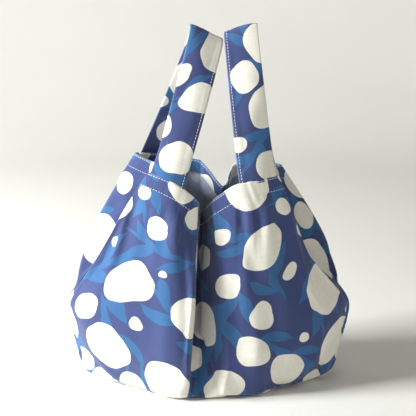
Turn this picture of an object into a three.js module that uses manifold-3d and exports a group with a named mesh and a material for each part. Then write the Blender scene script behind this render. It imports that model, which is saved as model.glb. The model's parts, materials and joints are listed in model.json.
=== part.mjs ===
import * as THREE from "three";
import { mergeVertices } from "three/addons/utils/BufferGeometryUtils.js";
import Module from "manifold-3d";

// Unlined cloth tote standing on its base, its mouth folded in at the front, back and both sides.
// Millimetres. X runs to the right, Y runs away from the viewer, Z is up.
// The origin is at the middle of the base.

// Cloth and sewing
const clothThickness = 0.9;
const hemDepth = 16;
const seamAllowance = 8;
const seamPlaneY = 8;
const pieceGap = 0.3;

// Height of the hem's highest corner above the base, and of the handles' tops above the hem
const hemHeight = 240;
const handleRise = 140;

// Handles: wide bands, each looped over from the front panel's hem to the back panel's hem
const strapWidth = 41;
const strapThickness = 1.4;
const strapTuck = 13;
const strapFromFrontRidge = 2.5;
const strapFromBackRidge = 8;
const handleTopY = 8;
const handleFoldRadius = 5;
const handleFoldDrop = 5.5;

// The ends of each handle's top fold, as [x, drop below the handles' top]
const handleTopLeft = { outer: [-18.5, 1], inner: [15.2, 15.5] };
const handleTopRight = { outer: [51, 0], inner: [17, 9] };

// Lower body: ovals from the resting base up to the widest ring
const baseHalfWidth = 133;
const baseHalfDepth = 68;
const heelHalfWidth = 141;
const heelHalfDepth = 75;
const bellyHalfWidth = 150;
const bellyHalfDepth = 79;
const widestHalfWidth = 155;
const widestHalfDepth = 75;
const baseSquareness = 1.3;
const heelSquareness = 1.45;
const bellySquareness = 1.75;
const widestSquareness = 1.8;

// Height of each lower ring as a share of the hem's height above it
const heelRise = 0.052;
const bellyRise = 0.21;
const widestRise = 0.37;
const shoulderRise = 0.655;

// How far the middle of the front and of the back is folded in, from base to shoulder
const frontFoldDepths = [0.5, 4, 22, 42, 55];
const backFoldDepths = [0, 0, 3, 12, 28];
const backLipHalfWidth = 9;

// The front fold leans to the left: its deepest line and its two lips, on the four lower rings
const frontFoldLean = [-6, -11, -15, -13];
const frontLipLeft = [20, 20, 19, 17];
const frontLipRight = [12, 15, 21, 19];

// Mouth: the hem's outline, one quarter at a time, from the centre fold out to the side
// Each place is [x, y, drop below the hem's highest corner]
const mouthFrontFold = [-3, 4, 58];
const mouthBackFold = [17, 26, 34];
const mouthGussetLeft = [-34, seamPlaneY, 16];
const mouthGussetRight = [47, seamPlaneY, 14];
const mouthFrontRight = {
  lip: [6, -46, 35],
  inner: [28, -54, 18],
  outer: [51, -53, 13],
  ridge: [72, -43, 10],
};
const mouthBackRight = {
  lip: [28, 56, 14],
  inner: [44, 59, 10],
  outer: [63, 58, 11],
  ridge: [82, 48, 13],
};
const mouthBackLeft = {
  lip: [-8, 58, 10],
  inner: [-34, 61, 6],
  outer: [-62, 60, 2],
  ridge: [-82, 49, 0],
};
const mouthFrontLeft = {
  lip: [-15, -46, 35],
  inner: [-27, -54, 20],
  outer: [-43, -52, 12],
  ridge: [-61, -42, 7],
};

// Shoulder: how far each fold line has moved from the widest ring towards the mouth
const shoulderCarry = {
  fold: 0.6,
  lip: 0.5,
  inner: 0.52,
  outer: 0.52,
  ridgeLeft: 0.42,
  ridgeRight: 0.56,
  corner: 0.28,
  gusset: 0.6,
};

// Fineness of the facets
const stepsBetweenFoldLines = 5;
const rowsBetweenLevels = [2, 2, 3, 4];
const rowsUnderHem = 3;
const rowsInHem = 2;
const strapRowsPerStretch = 4;
const strapColumns = 6;
const probeStep = 0.02;

// How far the cut for a strap's end runs out above the hem
const slotOverrun = 6;

const hemThickness = 2 * clothThickness + strapThickness + 2 * pieceGap;
const strapInset = clothThickness + pieceGap + strapThickness / 2;
const topLevel = 5;

// Angles of the fold lines round the lower ovals, from the centre fold to the side, in degrees
const ovalAngles = { inner: 58, outer: 34, ridge: 14 };

const lowerRings = [
  { halfWidth: baseHalfWidth, halfDepth: baseHalfDepth, squareness: baseSquareness, rise: 0 },
  { halfWidth: heelHalfWidth, halfDepth: heelHalfDepth, squareness: heelSquareness, rise: heelRise },
  { halfWidth: bellyHalfWidth, halfDepth: bellyHalfDepth, squareness: bellySquareness, rise: bellyRise },
  {
    halfWidth: widestHalfWidth,
    halfDepth: widestHalfDepth,
    squareness: widestSquareness,
    rise: widestRise,
  },
];

function ovalPoint(ring, degrees, sideX, sideY) {
  const angle = THREE.MathUtils.degToRad(degrees);
  const power = 2 / ring.squareness;
  const x = ring.halfWidth * Math.pow(Math.cos(angle), power);
  const y = ring.halfDepth * Math.pow(Math.sin(angle), power);
  return [sideX * x, sideY * y];
}

// One fold line: its places on the four lower rings, the shoulder and the mouth
function foldLine(mouth, lowerPlaces, carry) {
  const top = new THREE.Vector3(mouth[0], mouth[1], hemHeight - mouth[2]);
  const places = lowerPlaces.map(([x, y], i) => new THREE.Vector3(x, y, lowerRings[i].rise * top.z));
  const widest = places[places.length - 1];
  const shoulder = widest.clone().lerp(top, carry);
  shoulder.z = shoulderRise * top.z;
  return new THREE.CatmullRomCurve3([...places, shoulder, top], false, "centripetal");
}

function centreFold(mouth, depths, lean, sideY) {
  const lower = lowerRings.map((ring, i) => [lean[i], sideY * (ring.halfDepth - depths[i])]);
  const line = foldLine(mouth, lower, shoulderCarry.fold);
  const shoulderDepth = depths[depths.length - 1];
  const mouthFace = Math.abs(mouth[1]) + shoulderDepth;
  const shoulderFace = THREE.MathUtils.lerp(widestHalfDepth, mouthFace, shoulderCarry.lip);
  const shoulder = line.points[lowerRings.length];
  shoulder.y = sideY * (shoulderFace - shoulderDepth);
  return line;
}

function quarter(mouth, lipWidths, sideX, sideY, ridgeCarry) {
  const lowerAt = (degrees) => lowerRings.map((ring) => ovalPoint(ring, degrees, sideX, sideY));
  const lipPlaces = lowerRings.map((ring, i) => [sideX * lipWidths[i], sideY * ring.halfDepth]);
  return [
    foldLine(mouth.lip, lipPlaces, shoulderCarry.lip),
    foldLine(mouth.inner, lowerAt(ovalAngles.inner), shoulderCarry.inner),
    foldLine(mouth.outer, lowerAt(ovalAngles.outer), shoulderCarry.outer),
    foldLine(mouth.ridge, lowerAt(ovalAngles.ridge), ridgeCarry),
  ];
}

function gussetFold(mouth, sideX) {
  const lower = lowerRings.map((ring) => [sideX * ring.halfWidth, seamPlaneY]);
  return foldLine(mouth, lower, shoulderCarry.gusset);
}

const upright = lowerRings.map(() => 0);
const backLips = lowerRings.map(() => backLipHalfWidth);

const foldLines = [
  centreFold(mouthFrontFold, frontFoldDepths, frontFoldLean, -1),
  ...quarter(mouthFrontRight, frontLipRight, 1, -1, shoulderCarry.ridgeRight),
  gussetFold(mouthGussetRight, 1),
  ...quarter(mouthBackRight, backLips, 1, 1, shoulderCarry.corner).reverse(),
  centreFold(mouthBackFold, backFoldDepths, upright, 1),
  ...quarter(mouthBackLeft, backLips, -1, 1, shoulderCarry.corner),
  gussetFold(mouthGussetLeft, -1),
  ...quarter(mouthFrontLeft, frontLipLeft, -1, -1, shoulderCarry.ridgeLeft).reverse(),
];
const lineCount = foldLines.length;

// Places of the corner ridges and the side gussets in that list
const ridgeLines = { frontRight: 4, backRight: 6, backLeft: 14, frontLeft: 16 };
const gussetLines = { right: 5, left: 15 };

// Closed ring of the body's outer face at one level
const ringCache = new Map();
function ringAt(level) {
  if (!ringCache.has(level)) {
    const places = foldLines.map((line) => line.getPoint(level / topLevel));
    ringCache.set(level, new THREE.CatmullRomCurve3(places, true, "centripetal"));
  }
  return ringCache.get(level);
}

function outerPoint(around, level) {
  const turn = THREE.MathUtils.euclideanModulo(around, lineCount) / lineCount;
  return ringAt(level).getPoint(turn);
}

function outwardNormal(around, level) {
  const high = Math.min(level + probeStep, topLevel);
  const low = Math.max(level - probeStep, 0);
  const along = outerPoint(around + probeStep, level).sub(outerPoint(around - probeStep, level));
  const up = outerPoint(around, high).sub(outerPoint(around, low));
  return along.cross(up).normalize();
}

function bodyPoint(around, level, inset) {
  return outerPoint(around, level).addScaledVector(outwardNormal(around, level), -inset);
}

// Level that lies a given length below the hem's top edge
function levelBelowHem(around, drop) {
  const stretch = outerPoint(around, topLevel).distanceTo(outerPoint(around, topLevel - 1));
  return topLevel - drop / stretch;
}

// Band of faces between rows of places, closed round each row
function bandFromRows(rows) {
  const positions = [];
  const indices = [];
  const columns = rows[0].length;
  rows.flat().forEach((p) => positions.push(p.x, p.y, p.z));
  for (let r = 0; r + 1 < rows.length; r += 1) {
    for (let c = 0; c < columns; c += 1) {
      const next = (c + 1) % columns;
      const a = r * columns + c;
      const b = r * columns + next;
      const d = a + columns;
      const e = b + columns;
      indices.push(a, b, e, a, e, d);
    }
  }
  return { positions, indices, columns };
}

function geometryFrom(positions, indices) {
  const geometry = new THREE.BufferGeometry();
  geometry.setAttribute("position", new THREE.Float32BufferAttribute(positions, 3));
  geometry.setIndex(indices);
  return geometry;
}

function capRow(mesh, rowIndex, centre, facingUp) {
  const hub = mesh.positions.length / 3;
  mesh.positions.push(centre.x, centre.y, centre.z);
  const start = rowIndex * mesh.columns;
  for (let c = 0; c < mesh.columns; c += 1) {
    const a = start + c;
    const b = start + ((c + 1) % mesh.columns);
    if (facingUp) {
      mesh.indices.push(hub, a, b);
    } else {
      mesh.indices.push(hub, b, a);
    }
  }
}

// Levels of the rows from the base to the hem's lower edge, then through the hem
function lowerLevels() {
  const levels = [0];
  rowsBetweenLevels.forEach((count, i) => {
    for (let k = 1; k <= count; k += 1) {
      levels.push(i + k / count);
    }
  });
  return levels;
}

function bodyShell() {
  const columnCount = lineCount * stepsBetweenFoldLines;
  const arounds = Array.from({ length: columnCount }, (_, c) => c / stepsBetweenFoldLines);
  const hemStart = arounds.map((around) => levelBelowHem(around, hemDepth));
  const rowAt = (levelOf, inset) => arounds.map((around, c) => bodyPoint(around, levelOf(c), inset));
  const levelFunctions = lowerLevels().map((level) => () => level);
  for (let k = 1; k <= rowsUnderHem; k += 1) {
    levelFunctions.push((c) => THREE.MathUtils.lerp(topLevel - 1, hemStart[c], k / rowsUnderHem));
  }
  const hemFunctions = [];
  for (let k = 0; k <= rowsInHem; k += 1) {
    hemFunctions.push((c) => THREE.MathUtils.lerp(hemStart[c], topLevel, k / rowsInHem));
  }
  const outerRows = [...levelFunctions, ...hemFunctions.slice(1)].map((levelOf) => rowAt(levelOf, 0));
  const innerHem = hemFunctions.map((levelOf) => rowAt(levelOf, hemThickness)).reverse();
  const innerWall = levelFunctions.map((levelOf) => rowAt(levelOf, clothThickness)).reverse();
  const innerFloor = innerWall[innerWall.length - 1];
  innerFloor.forEach((p) => {
    p.z = clothThickness;
  });
  const rows = [...outerRows, ...innerHem, ...innerWall];
  const mesh = bandFromRows(rows);
  capRow(mesh, 0, new THREE.Vector3(0, 0, 0), false);
  capRow(mesh, rows.length - 1, new THREE.Vector3(0, 0, clothThickness), true);
  return geometryFrom(mesh.positions, mesh.indices);
}

// Sewn edges of both panels, turned to the inside: up one side, along the base and up the other
function seamEdges() {
  const sideLine = (index) => {
    const places = lowerLevels().map((level) => outerPoint(index, level));
    const top = levelBelowHem(index, hemDepth + pieceGap);
    for (let k = 1; k <= rowsUnderHem; k += 1) {
      places.push(outerPoint(index, THREE.MathUtils.lerp(topLevel - 1, top, k / rowsUnderHem)));
    }
    return places;
  };
  const right = sideLine(gussetLines.right);
  const left = sideLine(gussetLines.left).reverse();
  const outline = [...left, ...right];
  const halfWall = clothThickness / 2;
  const bandDepth = clothThickness + seamAllowance;
  const shifted = (p, inward) => {
    const side = Math.sign(p.x);
    return new THREE.Vector2(p.x - side * inward, Math.max(p.z, inward));
  };
  const outside = outline.map((p) => shifted(p, halfWall));
  const inside = outline.map((p) => shifted(p, bandDepth)).reverse();
  const shape = new THREE.Shape([...outside, ...inside]);
  const depth = 2 * clothThickness + pieceGap;
  const geometry = new THREE.ExtrudeGeometry(shape, { depth, bevelEnabled: false });
  geometry.rotateX(Math.PI / 2);
  geometry.translate(0, seamPlaneY + depth / 2, 0);
  return geometry;
}

// Place round the hem that lies a given length from a fold line, measured along the cloth
function aroundAtDistance(start, direction, distance) {
  const step = direction * probeStep;
  let left = distance;
  let around = start;
  let here = outerPoint(around, topLevel);
  let next = outerPoint(around + step, topLevel);
  while (next.distanceTo(here) < left) {
    left -= next.distanceTo(here);
    around += step;
    here = next;
    next = outerPoint(around + step, topLevel);
  }
  return around + (step * left) / next.distanceTo(here);
}

// A strap's columns where it is tucked into the hem, from its outer to its inner edge
function tuckColumns(end) {
  const columns = [];
  for (let c = 0; c <= strapColumns; c += 1) {
    const distance = end.fromRidge + (strapWidth * c) / strapColumns;
    columns.push(aroundAtDistance(end.ridgeLine, end.direction, distance));
  }
  return columns;
}

// Places in the middle of the doubled hem, each with the body's own facing direction
function tuckRow(columns, drop) {
  return columns.map((around) => {
    const level = levelBelowHem(around, drop);
    const place = bodyPoint(around, level, strapInset);
    place.facing = outwardNormal(around, level);
    return place;
  });
}

// Sheet with a thickness, closed round its four edges
function thickSheet(rows, thickness) {
  const columns = rows[0].length;
  const normalAt = (r, c) => {
    const up = rows[Math.min(r + 1, rows.length - 1)][c].clone().sub(rows[Math.max(r - 1, 0)][c]);
    const across = rows[r][Math.min(c + 1, columns - 1)].clone().sub(rows[r][Math.max(c - 1, 0)]);
    const normal = across.cross(up).normalize();
    const { facing } = rows[r][c];
    return facing ? facing.clone().multiplyScalar(Math.sign(facing.dot(normal))) : normal;
  };
  const loops = rows.map((row, r) => {
    const front = row.map((p, c) => p.clone().addScaledVector(normalAt(r, c), thickness / 2));
    const back = row.map((p, c) => p.clone().addScaledVector(normalAt(r, c), -thickness / 2));
    return [...front, ...back.reverse()];
  });
  const mesh = bandFromRows(loops);
  const around = 2 * columns;
  const lastStart = (loops.length - 1) * around;
  for (let c = 0; c + 1 < columns; c += 1) {
    const a = c;
    const b = c + 1;
    const d = around - 1 - c;
    const e = around - 2 - c;
    mesh.indices.push(a, e, b, a, d, e);
    mesh.indices.push(lastStart + a, lastStart + b, lastStart + e);
    mesh.indices.push(lastStart + a, lastStart + e, lastStart + d);
  }
  return geometryFrom(mesh.positions, mesh.indices);
}

function rowBetween(outer, inner) {
  const row = [];
  for (let c = 0; c <= strapColumns; c += 1) {
    row.push(outer.clone().lerp(inner, c / strapColumns));
  }
  return row;
}

function topRow(top, y, drop) {
  const height = hemHeight + handleRise - drop;
  const outer = new THREE.Vector3(top.outer[0], y, height - top.outer[1]);
  const inner = new THREE.Vector3(top.inner[0], y, height - top.inner[1]);
  return rowBetween(outer, inner);
}

function handleRows(side) {
  const front = tuckColumns(side.front);
  const back = tuckColumns(side.back);
  const stations = [
    tuckRow(front, strapTuck / 2),
    tuckRow(front, 0),
    topRow(side.top, handleTopY - handleFoldRadius, handleFoldDrop),
    topRow(side.top, handleTopY, 0),
    topRow(side.top, handleTopY + handleFoldRadius, handleFoldDrop),
    tuckRow(back, 0),
    tuckRow(back, strapTuck / 2),
  ];
  const lines = [];
  for (let c = 0; c <= strapColumns; c += 1) {
    const places = stations.map((row) => row[c]);
    lines.push(new THREE.CatmullRomCurve3(places, false, "centripetal"));
  }
  const stretches = stations.length - 1;
  const rows = [tuckRow(front, strapTuck), tuckRow(front, strapTuck / 2), tuckRow(front, 0)];
  const firstStep = strapRowsPerStretch + 1;
  const lastStep = (stretches - 1) * strapRowsPerStretch;
  for (let k = firstStep; k < lastStep; k += 1) {
    rows.push(lines.map((line) => line.getPoint(k / (stretches * strapRowsPerStretch))));
  }
  rows.push(tuckRow(back, 0), tuckRow(back, strapTuck / 2), tuckRow(back, strapTuck));
  return rows;
}

// Rows ordered so that the sheet made from them faces out
function facingOut(rows, end) {
  return end.direction > 0 ? rows : rows.map((row) => [...row].reverse());
}

function handleBand(side) {
  const rows = handleRows(side);
  return thickSheet(facingOut(rows, side.front), strapThickness);
}

// Slot in the doubled hem that a strap's end sits in
function strapSlot(end) {
  const margin = 2 * pieceGap;
  const outerEdge = aroundAtDistance(end.ridgeLine, end.direction, end.fromRidge - margin);
  const innerEdge = aroundAtDistance(end.ridgeLine, end.direction, end.fromRidge + strapWidth + margin);
  const columns = [outerEdge, ...tuckColumns(end), innerEdge];
  const drops = [strapTuck + margin, strapTuck / 2, 0];
  const rows = drops.map((drop) => tuckRow(columns, drop));
  const last = rows[rows.length - 1];
  const before = rows[rows.length - 2];
  const extended = last.map((p, c) => {
    const place = p.clone().addScaledVector(p.clone().sub(before[c]).normalize(), slotOverrun);
    place.facing = p.facing;
    return place;
  });
  rows.push(extended);
  return thickSheet(facingOut(rows, end), strapThickness + 2 * pieceGap);
}

const wasm = await Module();
wasm.setup();

function solidFrom(geometry) {
  const bare = geometry.clone();
  bare.deleteAttribute("normal");
  bare.deleteAttribute("uv");
  const merged = mergeVertices(bare, 1e-4);
  const vertProperties = new Float32Array(merged.attributes.position.array);
  const triVerts = new Uint32Array(merged.index.array);
  return new wasm.Manifold(new wasm.Mesh({ numProp: 3, vertProperties, triVerts }));
}

function geometryOf(solid) {
  const mesh = solid.getMesh();
  const geometry = geometryFrom(Array.from(mesh.vertProperties), Array.from(mesh.triVerts));
  geometry.computeVertexNormals();
  return geometry;
}

function boxFrom(low, high) {
  const geometry = new THREE.BoxGeometry(high[0] - low[0], high[1] - low[1], high[2] - low[2]);
  geometry.translate((low[0] + high[0]) / 2, (low[1] + high[1]) / 2, (low[2] + high[2]) / 2);
  return solidFrom(geometry);
}

// Each strap end runs from its fold line towards the middle of its panel
const handles = [
  {
    front: { ridgeLine: ridgeLines.frontLeft, direction: 1, fromRidge: strapFromFrontRidge },
    back: { ridgeLine: ridgeLines.backLeft, direction: -1, fromRidge: strapFromBackRidge },
    top: handleTopLeft,
  },
  {
    front: { ridgeLine: ridgeLines.frontRight, direction: -1, fromRidge: strapFromFrontRidge },
    back: { ridgeLine: ridgeLines.backRight, direction: 1, fromRidge: strapFromBackRidge },
    top: handleTopRight,
  },
];

let shell = solidFrom(bodyShell()).add(solidFrom(seamEdges()));
for (const end of handles.flatMap((side) => [side.front, side.back])) {
  shell = shell.subtract(solidFrom(strapSlot(end)));
}

const reach = 2 * widestHalfWidth;
const frontSpace = boxFrom([-reach, -reach, -reach], [reach, seamPlaneY - pieceGap / 2, reach]);
const backSpace = boxFrom([-reach, seamPlaneY + pieceGap / 2, -reach], [reach, reach, reach]);

function clothMaterial(color) {
  return new THREE.MeshStandardMaterial({ color, roughness: 0.9, metalness: 0 });
}

const navyCloth = clothMaterial(0x3f3f78);
const navyClothBack = clothMaterial(0x38386c);
const strapCloth = clothMaterial(0x46467f);

const bag = new THREE.Group();

function addPiece(name, geometry, material) {
  const mesh = new THREE.Mesh(geometry, material);
  mesh.name = name;
  bag.add(mesh);
}

addPiece("front_panel", geometryOf(shell.intersect(frontSpace)), navyCloth);
addPiece("back_panel", geometryOf(shell.intersect(backSpace)), navyClothBack);
addPiece("handle_left", handleBand(handles[0]), strapCloth);
addPiece("handle_right", handleBand(handles[1]), strapCloth.clone());

export default bag;
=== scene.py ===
import json
import math

import bpy
import numpy as np
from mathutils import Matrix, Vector

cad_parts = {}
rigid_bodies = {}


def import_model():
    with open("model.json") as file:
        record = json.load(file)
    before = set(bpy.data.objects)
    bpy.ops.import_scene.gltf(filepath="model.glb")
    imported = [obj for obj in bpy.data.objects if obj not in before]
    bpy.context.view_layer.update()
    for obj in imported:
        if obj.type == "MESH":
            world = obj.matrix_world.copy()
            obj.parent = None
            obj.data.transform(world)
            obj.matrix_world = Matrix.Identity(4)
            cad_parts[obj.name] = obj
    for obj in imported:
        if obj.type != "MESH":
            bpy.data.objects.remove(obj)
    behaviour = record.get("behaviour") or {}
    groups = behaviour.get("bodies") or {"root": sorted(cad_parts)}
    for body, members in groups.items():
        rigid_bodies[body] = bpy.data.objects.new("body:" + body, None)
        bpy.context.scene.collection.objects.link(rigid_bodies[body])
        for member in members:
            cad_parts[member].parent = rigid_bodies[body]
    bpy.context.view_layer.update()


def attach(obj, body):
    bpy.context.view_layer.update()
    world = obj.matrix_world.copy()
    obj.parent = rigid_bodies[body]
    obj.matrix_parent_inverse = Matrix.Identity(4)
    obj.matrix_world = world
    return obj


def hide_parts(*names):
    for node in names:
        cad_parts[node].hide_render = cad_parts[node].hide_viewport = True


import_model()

# The bag's form in millimetres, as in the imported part, with the front fold pressed in deeper
MM = 0.001
SEAM_Y = 8.0
HEM_HEIGHT = 240.0
HEM_DEPTH = 16.0
HANDLE_RISE = 140.0
STRAP_WIDTH = 41.0
STRAP_TUCK = 13.0
STRAP_INSET = 1.9
STRAP_FROM_FRONT_RIDGE = 2.5
STRAP_FROM_BACK_RIDGE = 8.0
HANDLE_TOP_Y = 8.0
HANDLE_FOLD_RADIUS = 5.0
HANDLE_FOLD_DROP = 5.5
SHOULDER_RISE = 0.655
FRONT_FOLD_DEPTHS = (0.5, 7, 29, 49, 58)
BACK_FOLD_DEPTHS = (0, 0, 3, 12, 28)
FRONT_FOLD_LEAN = (-6, -13, -19, -18)
FRONT_LIP_LEFT = (20, 20, 19, 17)
FRONT_LIP_RIGHT = (12, 15, 21, 19)
BACK_LIPS = (9, 9, 9, 9)
UPRIGHT = (0, 0, 0, 0)

# Lower rings: half width, half depth, squareness, height as a share of the hem's
LOWER_RINGS = (
    (133, 68, 1.3, 0),
    (141, 75, 1.45, 0.052),
    (150, 79, 1.75, 0.21),
    (155, 75, 1.8, 0.37),
)

# The fold lines between lip and side on the lower rings, in degrees from the side
INNER_ANGLE, OUTER_ANGLE, RIDGE_ANGLE = 58, 34, 14

# The hem's outline: x, y and drop below its highest corner, from a fold to the side
MOUTH_FRONT_FOLD = (-7, 4, 57)
MOUTH_BACK_FOLD = (17, 26, 34)
MOUTH_GUSSET_LEFT = (-34, SEAM_Y, 16)
MOUTH_GUSSET_RIGHT = (47, SEAM_Y, 14)
MOUTH_FRONT_RIGHT = ((4, -46, 35), (28, -54, 18), (51, -53, 13), (72, -43, 10))
MOUTH_BACK_RIGHT = ((28, 56, 14), (44, 59, 10), (63, 58, 11), (82, 48, 13))
MOUTH_BACK_LEFT = ((-8, 58, 10), (-34, 61, 6), (-62, 60, 2), (-82, 49, 0))
MOUTH_FRONT_LEFT = ((-10, -47, 35), (-27, -54, 20), (-43, -52, 12), (-61, -42, 7))

# The shoulder's place, as a share of the way from the highest lower ring to the mouth
CARRY = {"fold": 0.6, "lip": 0.5, "inner": 0.52, "outer": 0.52, "gusset": 0.6}
CARRY_LEFT, CARRY_RIGHT, CARRY_CORNER = 0.42, 0.56, 0.28

# Level of the mouth, with the base at level 0
TOP = 5

# Cloth and thread, in millimetres
CLOTH = 0.5
HANDLE_CLOTH = CLOTH - 0.04
OUTER_INSET = 0.35
STITCH_LENGTH = 2.5
STITCH_PITCH = 3.2
STITCH_MARGIN = 1.0
STITCH_SIDES = 6
HEM_STITCH_DROPS = (1.9, 15.0)

# One stitch: share of its length, height over the cloth and radius, in millimetres
STITCH_PROFILE = (
    (0.0, -0.25, 0.12),
    (0.16, 0.05, 0.22),
    (0.5, 0.16, 0.26),
    (0.84, 0.05, 0.22),
    (1.0, -0.25, 0.12),
)

# Turned hem, in millimetres: rounding of its edge, place of its inner layer, room for a strap
HEM_EDGE_DROP = 1.2
HEM_INNER_INSET = 1.35
STRAP_POCKET = 2.15
HEM_TURNED_SHORTER = 0.5

# Seam allowances in millimetres, and the share of their width left in the hem and at the base
SEAM_ALLOWANCE = 8.0
ALLOWANCE_LOWEST = 1.0
ALLOWANCE_GAP = 0.3
ALLOWANCE_SPREAD = 0.05
ALLOWANCE_RISE = 0.15
ALLOWANCE_IN_HEM = 0.12
ALLOWANCE_AT_BASE = 0.3
BASE_SEAM_SHARE = 0.97

# Ripples and the pinch of the topstitching at the hem, in millimetres
HEM_RIPPLE = 0.35
RIPPLE_BELOW_HEM = 0.55
RIPPLE_REACH = 9.0
SIDE_ROW_PITCH = 2.4
PINCH = 0.28
PINCH_WIDTH = 1.1

# Folded strap in millimetres: sway, ripple along its stitches, puff, still ends and layers
STRAP_SWAY = 1.3
STRAP_RIPPLE = 0.18
STRAP_RIPPLE_WIDTH = 2.2
STRAP_PUFF = 0.55
STRAP_STILL = 16
STRAP_SOFT = 30
STRAP_TURNED_IN = 8.0
STRAP_LAYER = 0.42
STRAP_STITCH_FROM_EDGE = 3.0
STRAP_STITCH_HEIGHT = 0.74

# Half of the strap's section at its stitched edge: distance from that edge and height
STRAP_EDGE = (
    (7.5, 0.62), (6, 0.78), (4.2, 0.8), (STRAP_STITCH_FROM_EDGE, STRAP_STITCH_HEIGHT),
    (1.8, 0.8), (0.6, 0.78), (0, 0.52), (0.6, 0.27), (3, 0.27), (5.5, 0.27),
    (STRAP_TURNED_IN, 0.27),
)

rng = np.random.default_rng(11)


def oval_point(ring, degrees, side_x, side_y):
    angle = math.radians(degrees)
    power = 2 / ring[2]
    x = ring[0] * math.cos(angle) ** power
    y = ring[1] * math.sin(angle) ** power
    return side_x * x, side_y * y


def fold_line(mouth, lower, carry):
    """Six places of one fold line, from the base to the mouth."""
    top = np.array([mouth[0], mouth[1], HEM_HEIGHT - mouth[2]], float)
    places = [[x, y, ring[3] * top[2]] for (x, y), ring in zip(lower, LOWER_RINGS)]
    shoulder = np.array(places[-1]) + (top - places[-1]) * carry
    shoulder[2] = SHOULDER_RISE * top[2]
    return np.array([*places, shoulder, top], float)


def centre_fold(mouth, depths, lean, side_y):
    lower = [(x, side_y * (ring[1] - deep)) for ring, deep, x in zip(LOWER_RINGS, depths, lean)]
    line = fold_line(mouth, lower, CARRY["fold"])
    mouth_face = abs(mouth[1]) + depths[-1]
    widest = LOWER_RINGS[-1][1]
    face = widest + (mouth_face - widest) * CARRY["lip"]
    line[4, 1] = side_y * (face - depths[-1])
    return line


def quarter(mouth, lips, side_x, side_y, ridge_carry):
    def ring_places(degrees):
        return [oval_point(ring, degrees, side_x, side_y) for ring in LOWER_RINGS]

    lip = [(side_x * width, side_y * ring[1]) for ring, width in zip(LOWER_RINGS, lips)]
    return [
        fold_line(mouth[0], lip, CARRY["lip"]),
        fold_line(mouth[1], ring_places(INNER_ANGLE), CARRY["inner"]),
        fold_line(mouth[2], ring_places(OUTER_ANGLE), CARRY["outer"]),
        fold_line(mouth[3], ring_places(RIDGE_ANGLE), ridge_carry),
    ]


def gusset_fold(mouth, side_x):
    return fold_line(mouth, [(side_x * r[0], SEAM_Y) for r in LOWER_RINGS], CARRY["gusset"])


LINES = np.array([
    centre_fold(MOUTH_FRONT_FOLD, FRONT_FOLD_DEPTHS, FRONT_FOLD_LEAN, -1),
    *quarter(MOUTH_FRONT_RIGHT, FRONT_LIP_RIGHT, 1, -1, CARRY_RIGHT),
    gusset_fold(MOUTH_GUSSET_RIGHT, 1),
    *quarter(MOUTH_BACK_RIGHT, BACK_LIPS, 1, 1, CARRY_CORNER)[::-1],
    centre_fold(MOUTH_BACK_FOLD, BACK_FOLD_DEPTHS, UPRIGHT, 1),
    *quarter(MOUTH_BACK_LEFT, BACK_LIPS, -1, 1, CARRY_CORNER),
    gusset_fold(MOUTH_GUSSET_LEFT, -1),
    *quarter(MOUTH_FRONT_LEFT, FRONT_LIP_LEFT, -1, -1, CARRY_LEFT)[::-1],
])
LINE_COUNT = len(LINES)

# At the front fold the left lip lies over the right one, which is set back
LINES[1, 1:5, 1] += (2, 7, 11, 10)
LINES[19, 1:5, 1] -= (0, 1.5, 2.5, 2.5)
BELOW = 2 * LINES[:, :1] - LINES[:, 1:2]
ABOVE = 2 * LINES[:, -1:] - LINES[:, -2:-1]
LINES_EXTENDED = np.concatenate([BELOW, LINES, ABOVE], axis=1)
RIDGES = {"front_right": 4, "back_right": 6, "back_left": 14, "front_left": 16}

# How crisply the cloth is creased along a fold line, on each level from the base to the mouth
CRISP = np.zeros((LINE_COUNT, TOP + 1))
CRISP[0] = (0.1, 0.4, 0.6, 0.6, 0.6, 0.5)
CRISP[19] = (0.3, 0.8, 0.92, 0.95, 0.95, 0.95)
CRISP[1] = (0.1, 0.5, 0.9, 0.95, 0.95, 0.95)
CRISP[[4, 16]] = (0.3, 0.5, 0.75, 0.88, 0.9, 0.8)
CRISP[[5, 15]] = (0.2, 0.3, 0.5, 0.6, 0.6, 0.5)
CRISP[[6, 14]] = (0.2, 0.3, 0.4, 0.5, 0.5, 0.4)
CRISP[[9, 10, 11]] = (0.1, 0.2, 0.3, 0.5, 0.6, 0.6)


def cubic(p1, p2, slope1, slope2, w):
    """Cubic curve from p1 at w 0 to p2 at w 1 with the given slopes at its ends."""
    square = 3 * (p2 - p1) - 2 * slope1 - slope2
    cube = 2 * (p1 - p2) + slope1 + slope2
    return p1 + w * slope1 + w**2 * square + w**3 * cube


def curve_between(p0, p1, p2, p3, w, crisp1=0.0, crisp2=0.0):
    """Smooth curve from p1 at w 0 to p2 at w 1, led by p0 and p3 and straight at a crisp end."""

    def knot(a, b):
        return np.maximum(((b - a) ** 2).sum(-1, keepdims=True), 1e-9) ** 0.25

    d0, d1, d2 = knot(p0, p1), knot(p1, p2), knot(p2, p3)
    t1 = ((p1 - p0) / d0 - (p2 - p0) / (d0 + d1) + (p2 - p1) / d1) * d1
    t2 = ((p2 - p1) / d1 - (p3 - p1) / (d1 + d2) + (p3 - p2) / d2) * d1
    t1 = t1 + crisp1 * (p2 - p1 - t1)
    t2 = t2 + crisp2 * (p2 - p1 - t2)
    return cubic(p1, p2, t1, t2, np.asarray(w)[..., None])


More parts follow.
